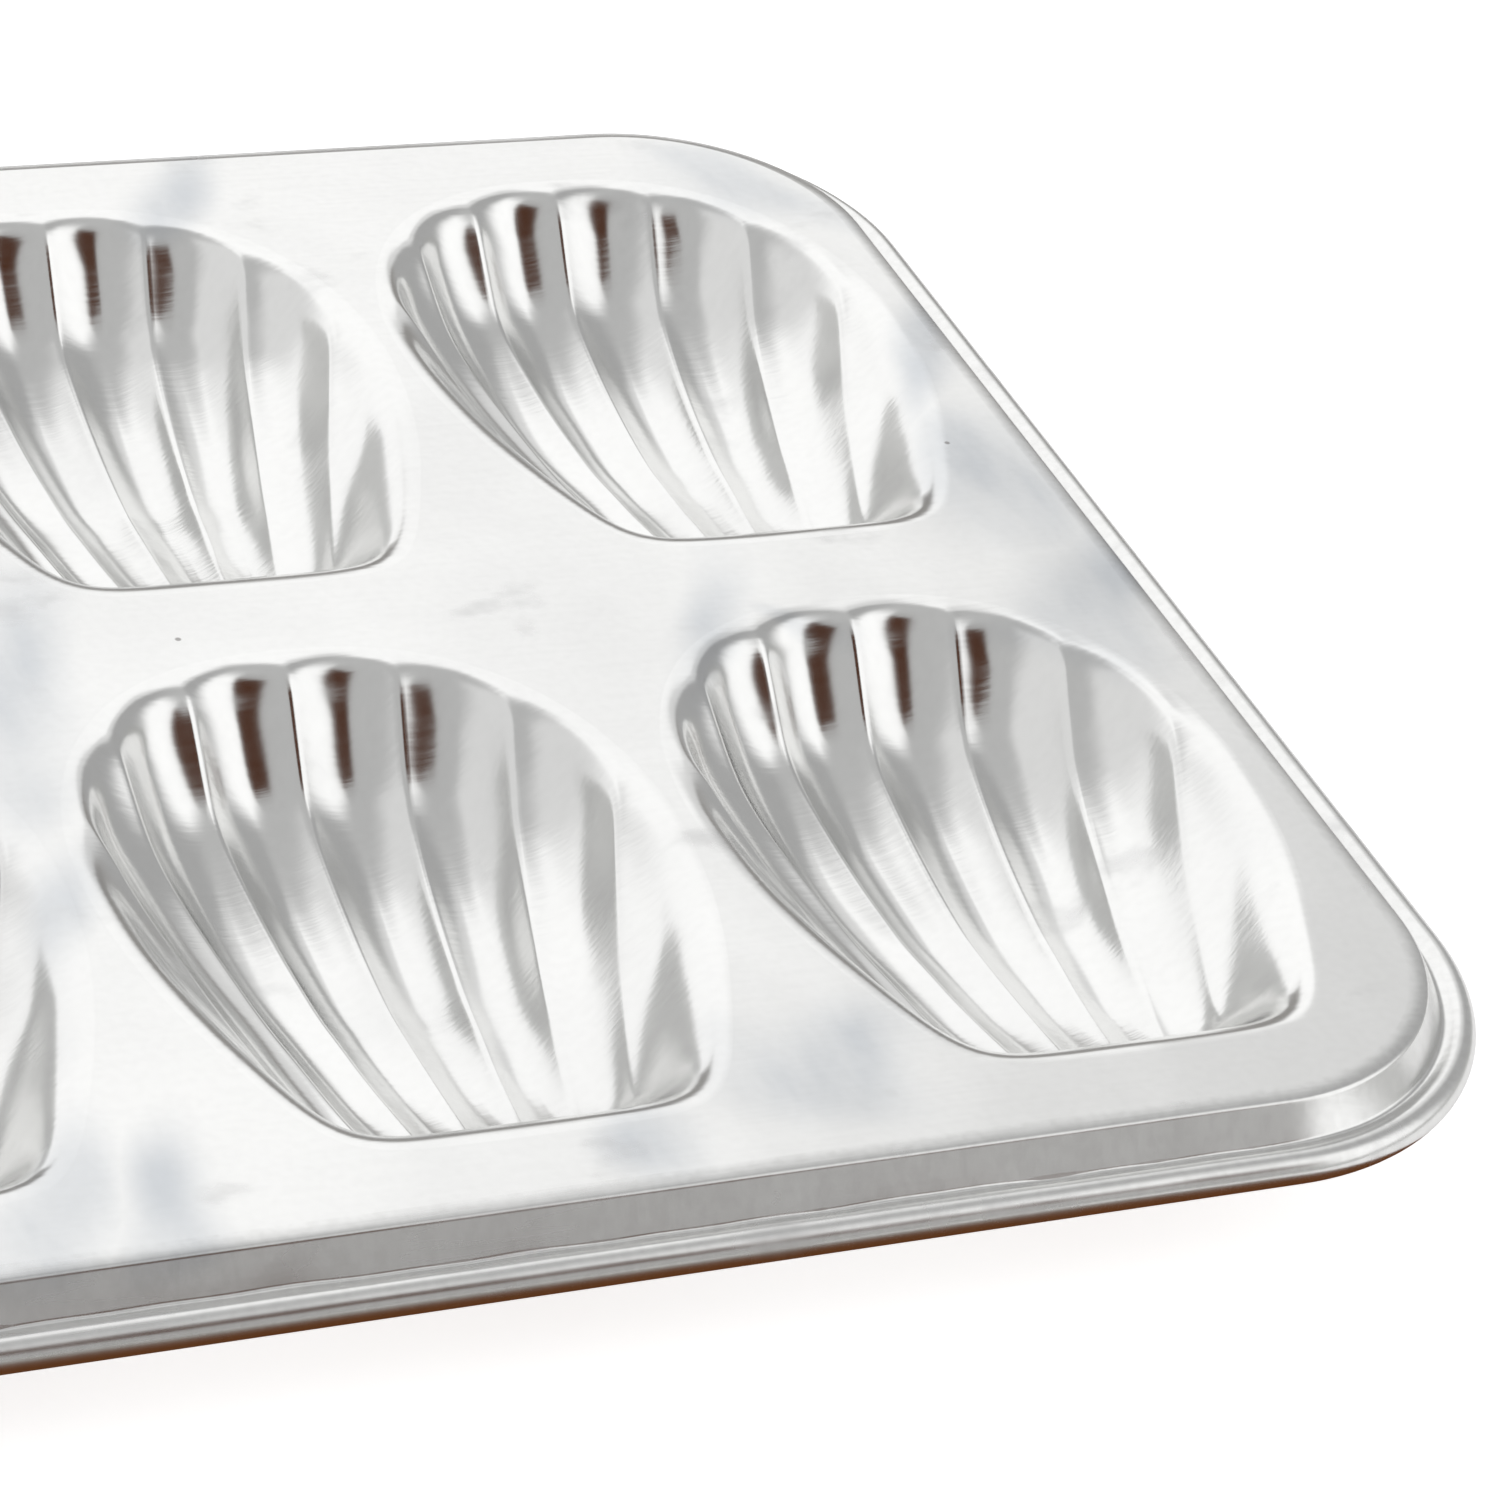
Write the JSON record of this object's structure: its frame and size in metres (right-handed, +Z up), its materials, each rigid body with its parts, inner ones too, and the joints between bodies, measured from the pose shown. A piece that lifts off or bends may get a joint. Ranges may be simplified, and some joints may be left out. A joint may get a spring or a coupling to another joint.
{
  "type": "madeleine pan",
  "caption": "Tinned-steel madeleine pan: a long pressed sheet with two rows of fluted shell-shaped cups, a sloping skirt and an edge rolled over a steel wire.",
  "frame": {"origin": "centre of the pan's bounding box, on the table under the cups", "axes": "+X along the pan and its rows of six cups, +Y from the front row to the rear row and towards the scalloped end of each cup, +Z up out of the cups"},
  "size_m": [0.3906, 0.2006, 0.017],
  "materials": {
    "tinned_sheet": "bright tinned sheet with light rolling marks",
    "tinned_edge": "bright tinned rolled edge",
    "steel_wire": "plain drawn steel wire, hidden inside the rolled edge"
  },
  "bodies": {
    "root": {"deck": "tinned_sheet", "cup_a1": "tinned_sheet", "cup_a2": "tinned_sheet", "cup_a3": "tinned_sheet", "cup_a4": "tinned_sheet", "cup_a5": "tinned_sheet", "cup_a6": "tinned_sheet", "cup_b1": "tinned_sheet", "cup_b2": "tinned_sheet", "cup_b3": "tinned_sheet", "cup_b4": "tinned_sheet", "cup_b5": "tinned_sheet", "cup_b6": "tinned_sheet", "skirt": "tinned_sheet", "rolled_edge": "tinned_edge", "edge_wire": "steel_wire"}
  },
  "joints": []
}
